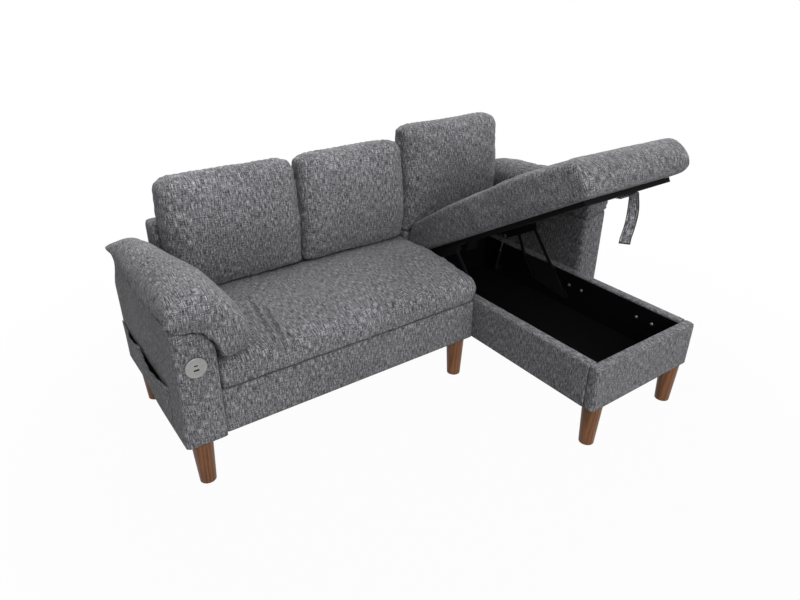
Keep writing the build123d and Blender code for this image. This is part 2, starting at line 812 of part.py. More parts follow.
# Pull strap: a tab held under the lid's front edge by a small plate, and the hanging end
strap_x = chaise_middle + strap_from_centre
strap_toe = panel_toe + strap_front_margin
strap_tab_under = panel_under - strap_thickness


def pull_strap():
    tab_x = (strap_x - strap_tab_length, strap_x - cover_gap)
    tab_y = (strap_toe, strap_toe + strap_width)
    nodes["strap_tab"] = opened(block(tab_x, tab_y, (strap_tab_under, panel_under)))
    plate_y = (tab_y[0] - strap_anchor_overlap, tab_y[1] + strap_anchor_overlap)
    plate_z = (strap_tab_under - strap_anchor_thickness, strap_tab_under)
    nodes["strap_anchor"] = opened(block((tab_x[0], tab_x[0] + strap_anchor_length), plate_y, plate_z))
    front_y_z = lid_place(hinge_y - tab_y[0], hinge_z - strap_tab_under)
    rear_y_z = lid_place(hinge_y - tab_y[1], hinge_z - strap_tab_under)
    low = rear_y_z[1] - strap_drop
    hanging = polygon(front_y_z, rear_y_z, (rear_y_z[0], low), (front_y_z[0], low))
    nodes["pull_strap"] = side_prism(hanging, (strap_x, strap_x + strap_thickness))


# Legs: turned tapered posts with hanger bolts
leg_arm_x = half_width - leg_inset_side
leg_seat_x = chaise_left - leg_inset_seat
leg_rear_y = back_heel - leg_inset_rear
leg_arm_y = seat_front - left_arm_overhang + leg_inset_front
leg_chaise_y = front_y + leg_inset_front
leg_places = {
    "left_front": (-leg_arm_x, leg_arm_y, "left_arm_body"),
    "left_rear": (-leg_arm_x, leg_rear_y, "left_arm_body"),
    "middle_front": (leg_seat_x, seat_front + leg_inset_front, "seat_corner_block"),
    "middle_rear": (leg_seat_x, leg_rear_y, "back_panel"),
    "chaise_left": (chaise_left + leg_inset_side, leg_chaise_y, "chaise_front_wall"),
    "chaise_right": (chaise_right - leg_inset_side, leg_chaise_y, "chaise_front_wall"),
    "right_rear": (leg_arm_x, leg_rear_y, "right_arm_body"),
}


def legs():
    bolts = []
    for name, (x, y, carrier) in leg_places.items():
        middle = Pos(x, y, leg_height / 2)
        leg = middle * Cone(leg_foot_radius, leg_top_radius, leg_height)
        low = leg_height - leg_bolt_in_leg
        high = base_z + leg_bolt_in_frame
        if carrier == "seat_corner_block":
            high += dust_cover
        bolt = bar((x, y, low), (x, y, high), leg_bolt_radius)
        hole = bar((x, y, low - cover_gap), (x, y, high + cover_gap), leg_bolt_radius + cover_gap)
        nodes[f"leg_{name}"] = leg - hole
        nodes[carrier] -= hole
        if carrier == "seat_corner_block":
            nodes["seat_dust_cover"] -= hole
        bolts.append(bolt)
    nodes["leg_bolts"] = Compound(children=bolts)


# Bolts through the lined walls
def wall_bolts():
    bolts = []
    head_x = (lined_right - wall_bolt_head, lined_right)
    tip = lined_right + wall_bolt_length
    for side in ("left", "right"):
        for y in wall_bolt_places:
            place = (front_y + y, base_z + wall_bolt_height)
            head = disc_x(place, wall_bolt_head_radius, on_side(head_x, side))
            bolts.append(head + disc_x(place, wall_bolt_radius, on_side((lined_right, tip), side)))
            hole_radius = wall_bolt_radius + cover_gap
            hole = disc_x(place, hole_radius, on_side((lined_right, tip + cover_gap), side))
            nodes["box_lining"] -= hole
            nodes[f"chaise_{side}_wall"] -= hole
    nodes["wall_bolts"] = Compound(children=bolts)


def build():
    settee_base()
    seat_cushion()
    back_panel()
    back_cushions()
    arms()
    side_pocket()
    charger()
    chaise_box()
    rear_deck()
    lid()
    hinges()
    for side in ("left", "right"):
        guide_plate(side)
        lid_bracket(side)
        guide_arm("front_arm", front_arm, side)
        guide_arm("rear_arm", rear_arm, side)
        gas_strut(side)
    pull_strap()
    legs()
    wall_bolts()


build()
os.makedirs("parts", exist_ok=True)
for name, part in nodes.items():
    export_step(part, f"parts/{name}.step")
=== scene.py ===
import json
import math
import bpy
import numpy as np
from mathutils import Matrix, Vector
from mathutils.bvhtree import BVHTree


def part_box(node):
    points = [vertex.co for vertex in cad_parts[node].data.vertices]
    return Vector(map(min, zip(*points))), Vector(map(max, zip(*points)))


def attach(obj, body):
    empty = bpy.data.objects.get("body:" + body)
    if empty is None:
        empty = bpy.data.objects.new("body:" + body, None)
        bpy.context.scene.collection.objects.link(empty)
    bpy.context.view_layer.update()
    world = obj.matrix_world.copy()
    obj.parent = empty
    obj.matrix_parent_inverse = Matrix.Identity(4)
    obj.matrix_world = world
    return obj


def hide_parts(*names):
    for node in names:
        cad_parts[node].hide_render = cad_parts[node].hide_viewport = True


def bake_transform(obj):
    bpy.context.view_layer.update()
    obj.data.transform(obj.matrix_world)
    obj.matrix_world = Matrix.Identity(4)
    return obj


# Metres and radians; +Z is up and -Y is the front
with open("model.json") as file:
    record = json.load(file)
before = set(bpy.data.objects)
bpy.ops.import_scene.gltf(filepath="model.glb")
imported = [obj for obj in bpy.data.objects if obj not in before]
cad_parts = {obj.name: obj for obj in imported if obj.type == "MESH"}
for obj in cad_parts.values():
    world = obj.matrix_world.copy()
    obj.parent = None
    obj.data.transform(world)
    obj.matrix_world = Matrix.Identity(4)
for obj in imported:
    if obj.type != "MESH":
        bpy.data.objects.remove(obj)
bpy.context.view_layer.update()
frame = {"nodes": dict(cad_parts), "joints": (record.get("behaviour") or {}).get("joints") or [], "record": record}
scene = bpy.context.scene
nodes = frame["nodes"]
joints = {j["name"]: j for j in frame["joints"]}
LID_ANGLE = math.radians(-joints["lid_lift"]["range_deg"][0])
LID_AXIS = np.array(joints["lid_lift"]["pos_m"])
BACK_RAKE = 34 / 566


# Node helpers
def add(tree, kind, inputs=None, **props):
    node = tree.nodes.new(kind)
    for key, value in props.items():
        setattr(node, key, value)
    for key, value in (inputs or {}).items():
        if isinstance(value, bpy.types.NodeSocket):
            tree.links.new(value, node.inputs[key])
        else:
            node.inputs[key].default_value = value
    return node


def math_node(tree, operation, a, b=0.0, c=0.0):
    return add(tree, "ShaderNodeMath", {0: a, 1: b, 2: c}, operation=operation).outputs[0]


def vector_node(tree, operation, inputs):
    return add(tree, "ShaderNodeVectorMath", inputs, operation=operation).outputs[0]


def ramp(tree, value, stops):
    node = add(tree, "ShaderNodeValToRGB", {0: value})
    elements = node.color_ramp.elements
    while len(elements) < len(stops):
        elements.new(0.5)
    for element, (place, colour) in zip(elements, stops):
        element.position = place
        element.color = (*colour, 1.0)
    return node.outputs[0]


def noise(tree, vector, scale, detail=3.0, rough=0.6):
    inputs = {"Vector": vector, "Scale": scale, "Detail": detail, "Roughness": rough}
    return add(tree, "ShaderNodeTexNoise", inputs).outputs["Fac"]


def stretched_noise(tree, vector, stretch, detail=2.0, rough=0.6):
    return noise(tree, vector_node(tree, "MULTIPLY", {0: vector, 1: stretch}), 1.0, detail, rough)


def new_material(name, **settings):
    material = bpy.data.materials.new(name)
    material.use_nodes = True
    shader = material.node_tree.nodes["Principled BSDF"]
    for key, value in settings.items():
        shader.inputs[key.replace("_", " ")].default_value = value
    return material, material.node_tree, shader


def bump(tree, shader, height, distance, strength):
    node = add(tree, "ShaderNodeBump", {"Height": height, "Distance": distance, "Strength": strength})
    tree.links.new(node.outputs[0], shader.inputs["Normal"])


# A heathered linen weave, laid on each side of a piece along the piece's own directions, with painted shade: the
# colour is darkened in hollows, creases and under neighbouring parts by ambient occlusion, and lightened a little
# in the open
WARP_STRETCH = (345.0, 40.0, 1.0)
WEFT_STRETCH = (56.0, 345.0, 1.0)
SLUB_STRETCH = (120.0, 9.0, 1.0)
FLECK_SCALE = 430.0
BLOTCH_SCALE = 3.2
BLOTCH_SHARE = 0.07
THREAD_PITCH = 0.0026
THREAD_WANDER = 0.007
LINEN_SHADES = ((0.385, 0.014), (0.45, 0.054), (0.51, 0.130), (0.57, 0.262), (0.65, 0.45))
LINEN_BLUE = 1.07
# Painted shade: how far the occlusion darkening reaches, the colour's factor in the deepest hollows, and the
# painted light added in the open
PAINTED_SHADE_REACH = 0.32
PAINTED_SHADE_DEEPEST = 0.50
PAINTED_LIGHT_OPEN = 0.62


def linen(name, tilt=0.0, tone=1.0, seed=0.0):
    cloth_sheen = {"Sheen_Weight": 0.12, "Sheen_Roughness": 0.6, "Specular_IOR_Level": 0.25}
    material, tree, shader = new_material(name, **cloth_sheen)
    place = add(tree, "ShaderNodeTexCoord")
    point, normal = place.outputs["Object"], place.outputs["Normal"]
    if tilt:
        turn = {"Axis": (1.0, 0.0, 0.0), "Angle": tilt}
        point = add(tree, "ShaderNodeVectorRotate", {"Vector": point, **turn}).outputs[0]
        normal = add(tree, "ShaderNodeVectorRotate", {"Vector": normal, **turn}).outputs[0]
    wander = add(tree, "ShaderNodeTexNoise", {"Vector": point, "Scale": 7.0, "Detail": 2.0})
    shift = vector_node(tree, "SCALE", {0: wander.outputs["Color"], "Scale": THREAD_WANDER})
    bent = vector_node(tree, "ADD", {0: point, 1: shift})
    bent = vector_node(tree, "ADD", {0: bent, 1: (seed, seed, seed)})
    xyz = add(tree, "ShaderNodeSeparateXYZ", {0: bent}).outputs
    facing = add(tree, "ShaderNodeSeparateXYZ", {0: vector_node(tree, "ABSOLUTE", {0: normal})}).outputs
    most_yz = math_node(tree, "MAXIMUM", facing[1], facing[2])
    side_on = math_node(tree, "GREATER_THAN", facing[0], most_yz)
    flat = math_node(tree, "GREATER_THAN", facing[2], math_node(tree, "MAXIMUM", facing[0], facing[1]))
    across = add(tree, "ShaderNodeMix", {0: side_on, 2: xyz[0], 3: xyz[1]}).outputs[0]
    along = add(tree, "ShaderNodeMix", {0: flat, 2: xyz[2], 3: xyz[1]}).outputs[0]
    cloth = add(tree, "ShaderNodeCombineXYZ", {0: across, 1: along}).outputs[0]
    warp = stretched_noise(tree, cloth, WARP_STRETCH)
    weft = stretched_noise(tree, cloth, WEFT_STRETCH)
    slub = stretched_noise(tree, cloth, SLUB_STRETCH, 1.0, 0.5)
    fleck = noise(tree, cloth, FLECK_SCALE, 2.0, 0.6)
    blotch = noise(tree, point, BLOTCH_SCALE, 2.0, 0.5)
    streaks = math_node(tree, "MULTIPLY", weft, 0.35)
    for layer, share in ((warp, 0.50), (slub, 0.05), (fleck, 0.10)):
        streaks = math_node(tree, "MULTIPLY_ADD", layer, share, streaks)
    streaks = math_node(tree, "SUBTRACT", streaks, BLOTCH_SHARE / 2)
    streaks = math_node(tree, "MULTIPLY_ADD", blotch, BLOTCH_SHARE, streaks)
    stops = [(spot, (v * tone, v * tone, v * tone * LINEN_BLUE)) for spot, v in LINEN_SHADES]
    # Painted shade: the colour is darkened where other surfaces hem the cloth in, as if shadowed there
    painted_shade_ao = add(tree, "ShaderNodeAmbientOcclusion", {"Distance": PAINTED_SHADE_REACH}, samples=8).outputs["AO"]
    painted_shade_factor = math_node(tree, "MULTIPLY_ADD", painted_shade_ao, PAINTED_LIGHT_OPEN, PAINTED_SHADE_DEEPEST)
    shade = vector_node(tree, "SCALE", {0: ramp(tree, streaks, stops), "Scale": painted_shade_factor})
    tree.links.new(shade, shader.inputs["Base Color"])
    rough = math_node(tree, "MULTIPLY_ADD", fleck, 0.16, 0.80)
    tree.links.new(rough, shader.inputs["Roughness"])
    per_thread = 2 * math.pi / THREAD_PITCH
    thread_a = math_node(tree, "SINE", math_node(tree, "MULTIPLY", across, per_thread))
    thread_b = math_node(tree, "SINE", math_node(tree, "MULTIPLY", along, per_thread))
    weave = math_node(tree, "MULTIPLY", thread_a, thread_b)
    bump(tree, shader, math_node(tree, "MULTIPLY_ADD", weave, 0.12, streaks), 0.0022, 0.75)
    return material


def walnut():
    lacquer = {"Coat_Weight": 0.03, "Coat_Roughness": 0.35, "Specular_IOR_Level": 0.2}
    material, tree, shader = new_material("walnut_lacquer", **lacquer)
    point = add(tree, "ShaderNodeTexCoord").outputs["Object"]
    bend = noise(tree, point, 9.0, 2.0, 0.5)
    grain_at = vector_node(tree, "MULTIPLY", {0: point, 1: (1.0, 1.0, 0.06)})
    ring_look = {"Scale": 26.0, "Distortion": 5.0, "Detail": 3.0, "Detail Scale": 1.6}
    rings = add(tree, "ShaderNodeTexWave", {"Vector": grain_at, **ring_look}, bands_direction="X")
    pores = stretched_noise(tree, point, (700.0, 700.0, 26.0))
    mixed = math_node(tree, "MULTIPLY", pores, 0.5)
    mixed = math_node(tree, "MULTIPLY_ADD", rings.outputs["Fac"], 0.2, mixed)
    mixed = math_node(tree, "MULTIPLY_ADD", bend, 0.3, mixed)
    dark, middle, light = (0.070, 0.026, 0.0105), (0.165, 0.067, 0.028), (0.275, 0.125, 0.058)
    brown = ramp(tree, mixed, ((0.25, dark), (0.5, middle), (0.8, light)))
    tree.links.new(brown, shader.inputs["Base Color"])
    tree.links.new(math_node(tree, "MULTIPLY_ADD", pores, 0.25, 0.30), shader.inputs["Roughness"])
    bump(tree, shader, mixed, 0.0006, 0.4)
    return material


def grey(value, blue):
    return (value, value, blue)


def plain(name, dark, light, scale, rough, spread, metallic=0.0, depth=0.0002, shine=0.5):
    """A finish between two shades with a fine grain; spread is how far its roughness varies."""
    material, tree, shader = new_material(name, Metallic=metallic, Specular_IOR_Level=shine)
    point = add(tree, "ShaderNodeTexCoord").outputs["Object"]
    grain = noise(tree, point, scale, 4.0, 0.6)
    broad = noise(tree, point, scale * 0.04, 2.0, 0.5)
    mixed = math_node(tree, "MULTIPLY_ADD", grain, 0.6, math_node(tree, "MULTIPLY", broad, 0.4))
    tree.links.new(ramp(tree, mixed, ((0.35, dark), (0.65, light))), shader.inputs["Base Color"])
    uneven = math_node(tree, "MULTIPLY_ADD", mixed, spread, rough - spread / 2)
    tree.links.new(uneven, shader.inputs["Roughness"])
    bump(tree, shader, grain, depth, 0.6)
    return material


LINEN = linen("linen_grey")
LINEN_FRAME = linen("linen_frame", seed=3.7)
# Darker copies of the same linen on the chaise walls and the lid, as painted shade
LINEN_CHAISE_SHADED = linen("linen_chaise", tone=0.87, seed=7.9)
LINEN_LID_SHADED = linen("linen_lid", tilt=LID_ANGLE, tone=0.87, seed=1.3)
LINEN_DARK = linen("linen_stitching", tone=0.2, seed=5.1)
# A lighter copy of the linen for the strap, as painted light where it hangs in the lid's shadow
LINEN_STRAP_LIT = linen("linen_strap", tone=1.45, seed=9.3)
WALNUT = walnut()
# Black lining cloth, made darker than the cloth itself as painted shade inside the box; the side pocket's back
# sheet uses it as painted shade too
LINING_AND_PAINTED_SHADE = plain(
    "black_lining", grey(0.0009, 0.0010), grey(0.0025, 0.0028), 900.0, 0.92, 0.1, depth=0.0004, shine=0.06)
BOARD = plain(
    "black_board", grey(0.0025, 0.0028), grey(0.006, 0.0065), 700.0, 0.8, 0.16, depth=0.0004, shine=0.1)
BLACK_STEEL = plain("black_steel", grey(0.004, 0.0045), grey(0.009, 0.010), 500.0, 0.6, 0.18, shine=0.15)
BRIGHT_STEEL = plain("zinc_steel", grey(0.20, 0.21), grey(0.36, 0.37), 300.0, 0.4, 0.2, 0.9, 0.00005)
SILVER = plain("silver_lacquer", grey(0.25, 0.245), grey(0.33, 0.325), 1200.0, 0.5, 0.12, 0.2, 0.00006)
DARK_PLASTIC = plain("dark_plastic", grey(0.012, 0.013), grey(0.024, 0.026), 900.0, 0.55, 0.15, 0.0, 0.0001)


def paint(obj, *materials):
    obj.data.materials.clear()
    for material in materials:
        obj.data.materials.append(material)


# Shaping helpers
def step_between(value, start, end):
    t = np.clip((value - start) / (end - start), 0, 1)
    return t * t * (3 - 2 * t)


def bell(value, centre, width):
    return np.exp(-(((value - centre) / width) ** 2))


def ripple(co, scale, seed):
    """A smooth wandering value from about -1 to 1 at each point."""
    rng = np.random.default_rng(seed)
    total = np.zeros(len(co))
    for _ in range(7):
        wave = rng.normal(size=3) * scale
        total += np.sin(co @ wave + rng.uniform(0, 6.28))
    return total / 3.2


def at_most(moved, length):
    far = np.linalg.norm(moved, axis=1)
    return moved * np.minimum(1, length / np.maximum(far, 1e-9))[:, None]


# Mesh helpers
def coords(mesh):
    flat = np.empty(len(mesh.vertices) * 3)
    mesh.vertices.foreach_get("co", flat)
    return flat.reshape(-1, 3)


def put(mesh, co):
    mesh.vertices.foreach_set("co", np.ascontiguousarray(co, dtype=np.float32).ravel())
    mesh.update()


def normals(mesh):
    flat = np.empty(len(mesh.vertices) * 3)
    mesh.vertex_normals.foreach_get("vector", flat)
    return flat.reshape(-1, 3)


def link(name, mesh):
    obj = bpy.data.objects.new(name, mesh)
    scene.collection.objects.link(obj)
    return obj


def smooth_shade(mesh):
    mesh.polygons.foreach_set("use_smooth", np.ones(len(mesh.polygons), dtype=bool))
    mesh.update()


def remeshed(name, node, cell, turn=None):
    """A copy of a CAD solid as an even net of small faces."""
    mesh = nodes[node].data.copy()
    if turn is not None:
        mesh.transform(turn)
    obj = link(name, mesh)
    net = obj.modifiers.new("net", "REMESH")
    net.mode = "VOXEL"
    net.voxel_size = cell
    done = bpy.data.meshes.new_from_object(obj.evaluated_get(bpy.context.evaluated_depsgraph_get()))
    obj.modifiers.clear()
    obj.data = done
    done.materials.clear()
    bpy.data.meshes.remove(mesh)
    return obj


def averaged(mesh, values, rounds, free=1.0):
    """Values at the points, evened out with their neighbours'."""
    pairs = np.empty(len(mesh.edges) * 2, dtype=np.int64)
    mesh.edges.foreach_get("vertices", pairs)
    a, b = pairs.reshape(-1, 2).T
    size = len(values)
    count = np.bincount(a, minlength=size) + np.bincount(b, minlength=size)
    values = values.copy()
    for _ in range(rounds):
        mean = np.zeros_like(values)
        for axis in range(3):
            mean[:, axis] = np.bincount(a, values[b, axis], size) + np.bincount(b, values[a, axis], size)
        values += 0.5 * free * (mean / count[:, None] - values)
    return values


def relax(mesh, rounds, keep=None):
    """Evens the surface out, which rounds the edges; keep is 1 where a point stays."""
    put(mesh, averaged(mesh, coords(mesh), rounds, 1.0 if keep is None else (1 - keep)[:, None]))


COVER_CLOTH = {
    "quality": 4,
    "mass": 0.35,
    "tension_stiffness": 14,
    "compression_stiffness": 14,
    "shear_stiffness": 6,
    "bending_stiffness": 0.4,
    "shrink_min": -0.012,
    "use_pressure": True,
}
CLOTH_STEPS = 20
EDGE_TURN = (0.0012, 0.0045)


def puff(obj, pins, pressure, crease, swell):
    """Blows a slack cover out with Cloth; keeps its creases and a little swelling, away from the edges."""
    start = coords(obj.data)
    group = obj.vertex_groups.new(name="held")
    for index in np.nonzero(pins > 0.02)[0]:
        group.add([int(index)], float(pins[index]), "REPLACE")
    cloth = obj.modifiers.new("cover", "CLOTH")
    for key, value in COVER_CLOTH.items():
        setattr(cloth.settings, key, value)
    cloth.settings.uniform_pressure_force = pressure
    cloth.settings.vertex_group_mass = "held"
    cloth.settings.effector_weights.gravity = 0
    cloth.point_cache.frame_start = 1
    cloth.point_cache.frame_end = CLOTH_STEPS
    for step in range(1, CLOTH_STEPS + 1):
        scene.frame_set(step)
    after = obj.evaluated_get(bpy.context.evaluated_depsgraph_get())
    moved = coords(after.data) - start
    broad = averaged(obj.data, moved, 24)
    turning = np.linalg.norm(averaged(obj.data, start, 6) - start, axis=1)
    level = 1 - step_between(turning, *EDGE_TURN)
    obj.modifiers.clear()
    obj.vertex_groups.clear()
    put(obj.data, start + level[:, None] * (at_most(broad, swell) + at_most(moved - broad, crease)))
    scene.frame_set(1)


def fit(obj, low, high):
    """Brings the piece to the reach that its CAD solid has."""
    co = coords(obj.data)
    for axis in range(3):
        least, most = co[:, axis].min(), co[:, axis].max()
        co[:, axis] = low[axis] + (co[:, axis] - least) * (high[axis] - low[axis]) / (most - least)
    put(obj.data, co)


def tree_of(obj):
    mesh = obj.data
    points = [v.co.copy() for v in mesh.vertices]
    return BVHTree.FromPolygons(points, [tuple(p.vertices) for p in mesh.polygons])


REST_GAP = 0.0006
DEEPEST_OVERLAP = 0.05


def keep_clear(obj, *others):
    """Pushes a piece's points out of the CAD nodes that it rests against."""
    co = coords(obj.data)
    for other in others:
        tree = tree_of(nodes[other])
        box = np.array([v.co for v in nodes[other].data.vertices])
        near = np.all((co > box.min(0) - 0.01) & (co < box.max(0) + 0.01), axis=1)
        for index in np.nonzero(near)[0]:
            spot, normal, _, away = tree.find_nearest(Vector(co[index]))
            if spot is None or away > DEEPEST_OVERLAP:
                continue
            if (Vector(co[index]) - spot).dot(normal) < REST_GAP:
                co[index] = spot + normal * REST_GAP
    put(obj.data, co)


def finish_soft(obj, material, body, node, levels=1):
    smooth_shade(obj.data)
    paint(obj, material)
    if levels:
        obj.modifiers.new("finer", "SUBSURF").levels = levels
        obj.modifiers["finer"].render_levels = levels
    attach(obj, body)
    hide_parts(node)


# Covered frames: the boards' edges softened under cloth
ARM_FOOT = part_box("left_arm_body")[0][2]
ARM_SAG = 0.009
ARM_SAG_HEIGHT = 0.2
ARM_SAG_END = (0.22, 0.5)
ARM_SHOULDER_DRAW = 0.012
RAIL_CREASE_X = -0.515
RAIL_CREASE_DEPTH = 0.0085


def arm_sag(y, z):
    """How far the cloth on the left arm's outer side stands off near its foot."""
    low_down = 1 - step_between(z, ARM_FOOT, ARM_FOOT + ARM_SAG_HEIGHT)
    return ARM_SAG * low_down * (1 - step_between(y, *ARM_SAG_END))


def cover_frame(node, cell, seed, joined):
    """joined names the ends that meet another frame, as axis and side, and stay square."""
    low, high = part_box(node)
    obj = remeshed(f"{node}_cover", node, cell)
    co = coords(obj.data)
    keep = (co[:, 2] < low[2] + 0.6 * cell).astype(float)
    for axis, side in joined:
        end = co[:, axis] - low[axis] if side < 0 else high[axis] - co[:, axis]
        keep = np.maximum(keep, end < 0.6 * cell)
    relax(obj.data, 3, keep)
    fit(obj, low, high)
    co = coords(obj.data)
    co -= normals(obj.data) * (0.0004 * (1 - keep) * (1 + ripple(co, 16.0, seed)))[:, None]
    if node == "seat_front_rail":
        crease = bell(co[:, 0], RAIL_CREASE_X, 0.009)
        crease *= (1 - step_between(co[:, 2], 0.28, 0.33)) * step_between(co[:, 2], 0.180, 0.215)
        co[:, 1] += RAIL_CREASE_DEPTH * crease * (co[:, 1] < low[1] + 0.006)
    if node.endswith("arm_body"):
        outer = -1 if node.startswith("left") else 1
        reach = max(abs(low[0]), abs(high[0]))
        shoulder = step_between(co[:, 1], 0.40, 0.60) * step_between(co[:, 2], 0.50, 0.59)
        outside = step_between(outer * co[:, 0], reach - 0.04, reach)
        co[:, 0] -= outer * ARM_SHOULDER_DRAW * shoulder * outside
    if node == "left_arm_body":
        co[:, 0] -= step_between(-co[:, 0], -low[0] - 0.03, -low[0]) * arm_sag(co[:, 1], co[:, 2])
    put(obj.data, co)
    # The chaise walls take the darker copy of the linen, as painted shade
    cloth = LINEN_CHAISE_SHADED if node.startswith("chaise") else LINEN_FRAME
    finish_soft(obj, cloth, "sofa", node, 0)


for index, (node, cell, joined) in enumerate((
    ("left_arm_body", 0.008, ()),
    ("right_arm_body", 0.008, ()),
    ("back_panel", 0.010, ()),
    ("seat_front_rail", 0.0065, ((0, -1), (0, 1))),
    ("chaise_front_wall", 0.0065, ()),
    ("chaise_left_wall", 0.0065, ((1, -1),)),
    ("chaise_right_wall", 0.0065, ((1, -1),)),
    ("chaise_rear_deck", 0.008, ()),
)):
    cover_frame(node, cell, 11 + index, joined)


# Seat cushion: folds in its nose as place, width and depth, pleats on its top as place, lean, front end,
# rear end and depth
SEAT_FOLDS = (
    (-0.76, 0.016, 0.0045),
    (-0.66, 0.011, 0.003),
    (-0.4, 0.02, 0.002),
    (-0.06, 0.014, 0.0025),
    (0.17, 0.012, 0.004),
    (0.215, 0.01, 0.003),
)
SEAT_PLEATS = (
    (-0.600, 0.13, -0.03, 0.26, 0.0078),
    (-0.629, 0.12, 0.02, 0.34, 0.0062),
    (-0.570, 0.13, -0.03, 0.12, 0.006),
    (-0.175, 0.16, -0.02, 0.12, 0.007),
    (-0.150, 0.16, -0.01, 0.10, 0.005),
)
PLEAT_HALF_WIDTH = 0.012
PLEAT_RIDGE_AT = 0.016
PLEAT_RIDGE_WIDTH = 0.007
SEAT_END_ROUND = 0.012
SEAT_END_SWELL = 0.015
SEAT_CORNER_SWELL = 0.008
SEAT_END_LIMIT = 0.0122


def round_end(co, high):
    """Rounds the edge between the seat's right end and its top, as seen from the front."""
    a = co[:, 0] - (high[0] - SEAT_END_ROUND)
    b = co[:, 2] - (high[2] - 2 * SEAT_END_ROUND)
    inside = (a > 0) & (b > 0)
    shrink = np.maximum(a, b) / np.maximum(np.hypot(a, b), 1e-9)
    co[inside, 0] = high[0] - SEAT_END_ROUND + (a * shrink)[inside]
    co[inside, 2] = high[2] - 2 * SEAT_END_ROUND + (b * shrink)[inside]


def seat_cushion():
    low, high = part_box("seat_cushion")
    obj = remeshed("seat_bench_cushion", "seat_cushion", 0.008)
    co = coords(obj.data)
    round_end(co, high)
    put(obj.data, co)
    relax(obj.data, 11)
    fit(obj, low, high)
    co = coords(obj.data)
    foot = step_between(-co[:, 2], -low[2] - 0.014, -low[2] - 0.006)
    puff(obj, np.maximum(foot, step_between(co[:, 1], high[1] - 0.02, high[1] - 0.008)), 2.4, 0.003, 0.002)
    co = coords(obj.data)
    n = normals(obj.data)
    nose = step_between(-co[:, 1], -low[1] - 0.075, -low[1] - 0.012)
    nose *= step_between(co[:, 2], low[2], low[2] + 0.03)
    folds = np.zeros(len(co))
    for x, width, depth in SEAT_FOLDS:
        folds += depth * bell(co[:, 0] - 0.15 * (co[:, 2] - low[2]), x, width)
    pleats = np.zeros(len(co))
    upward = step_between(n[:, 2], 0.05, 0.4)
    for x, lean, front, rear, depth in SEAT_PLEATS:
        run = step_between(co[:, 1], front - 0.05, front) * (1 - step_between(co[:, 1], rear - 0.1, rear))
        off = np.abs(co[:, 0] - x - lean * co[:, 1])
        groove = np.maximum(0, 1 - off / PLEAT_HALF_WIDTH)
        ridge = bell(off, PLEAT_RIDGE_AT, PLEAT_RIDGE_WIDTH)
        pleats += depth * run * upward * (2.1 * groove - 0.6 * ridge)
    soft = 0.0016 * ripple(co, 22.0, 3) + 0.0010 * ripple(co, 60.0, 4)
    co -= n * (nose * folds + pleats + 0.0016 - soft)[:, None]
    bulge = step_between(co[:, 0], high[0] - 0.05, high[0] - 0.006)
    bulge *= step_between(co[:, 2], low[2] + 0.02, low[2] + 0.06)
    to_rear = step_between(co[:, 1], high[1] - 0.07, high[1] - 0.01)
    swollen = co[:, 0] + (SEAT_END_SWELL + SEAT_CORNER_SWELL * to_rear) * bulge
    co[:, 0] = np.minimum(swollen, high[0] + SEAT_END_LIMIT)
    put(obj.data, co)
    keep_clear(obj, "seat_front_rail", "seat_webbing", "left_arm_body", "back_panel")
    finish_soft(obj, LINEN, "sofa", "seat_cushion")


# Back cushions: creases in their faces as share of the width, top, foot and depth
LEFT_CREASES = ((0.17, 0.89, 0.58, 0.0036), (0.20, 0.86, 0.66, 0.0026), (0.53, 0.80, 0.63, 0.0020))
MIDDLE_CREASES = ((0.16, 0.90, 0.64, 0.0036), (0.19, 0.87, 0.70, 0.0026), (0.22, 0.84, 0.68, 0.0020))
RIGHT_CREASES = ((0.14, 0.90, 0.66, 0.0016),)
HEM_SCALLOP = 0.027
SIDE_PULL = 0.043
BACK_BELLY = 0.012
TOP_CORNER = 0.055
TOP_CORNER_RISE = 0.005
TOP_CORNER_PUSH = 0.007
SIDE_MARGIN = 0.0004


